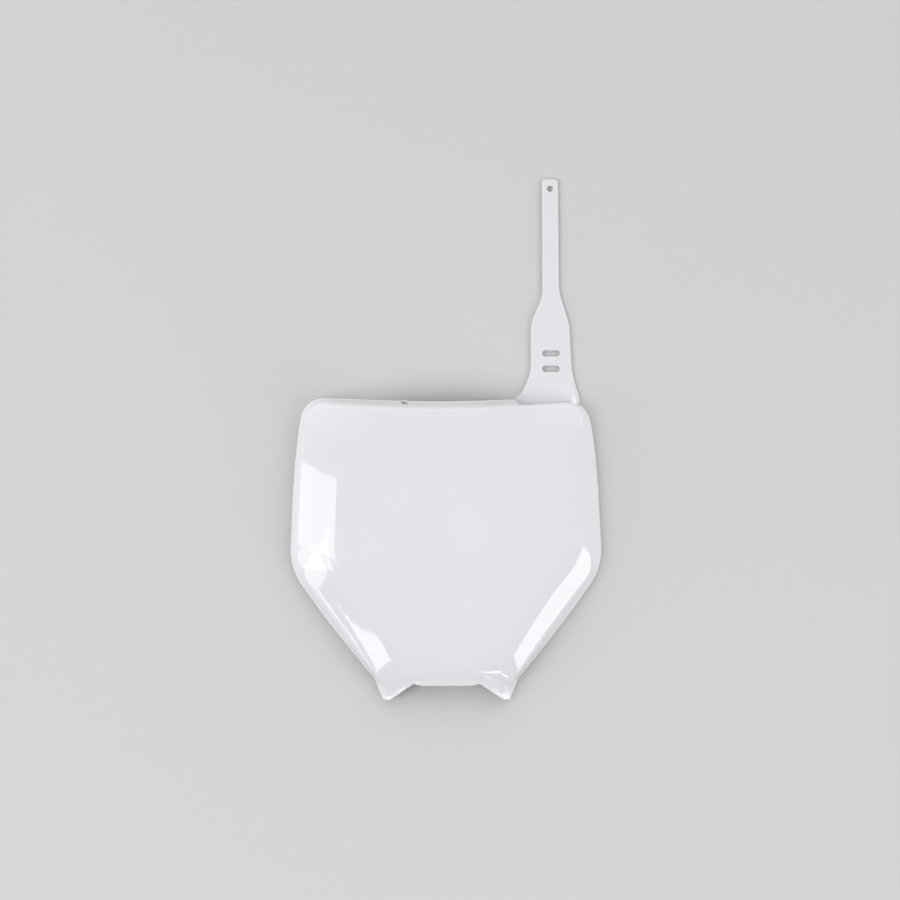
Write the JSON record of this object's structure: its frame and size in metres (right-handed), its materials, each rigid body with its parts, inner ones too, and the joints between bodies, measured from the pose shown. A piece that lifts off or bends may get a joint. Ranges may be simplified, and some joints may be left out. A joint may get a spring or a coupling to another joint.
{
  "type": "racing number board",
  "caption": "One-piece moulded front number board for a motocross motorbike: crowned shell with a turned-back rim, a notch between horns and an integral slotted handlebar strap.",
  "frame": {"origin": "middle of the board's bounding box in plan, on the plane that the rear edge and the strap lie on", "axes": "+X to the right as seen from the front, +Y up the board towards the strap's tip, +Z out of the face"},
  "size_m": [0.2508, 0.4194, 0.0274],
  "materials": {
    "white_plastic": "glossy white polypropylene as moulded, faintly translucent, with a bright rounded cut edge"
  },
  "bodies": {
    "root": {"number_board": "white_plastic"}
  },
  "joints": []
}
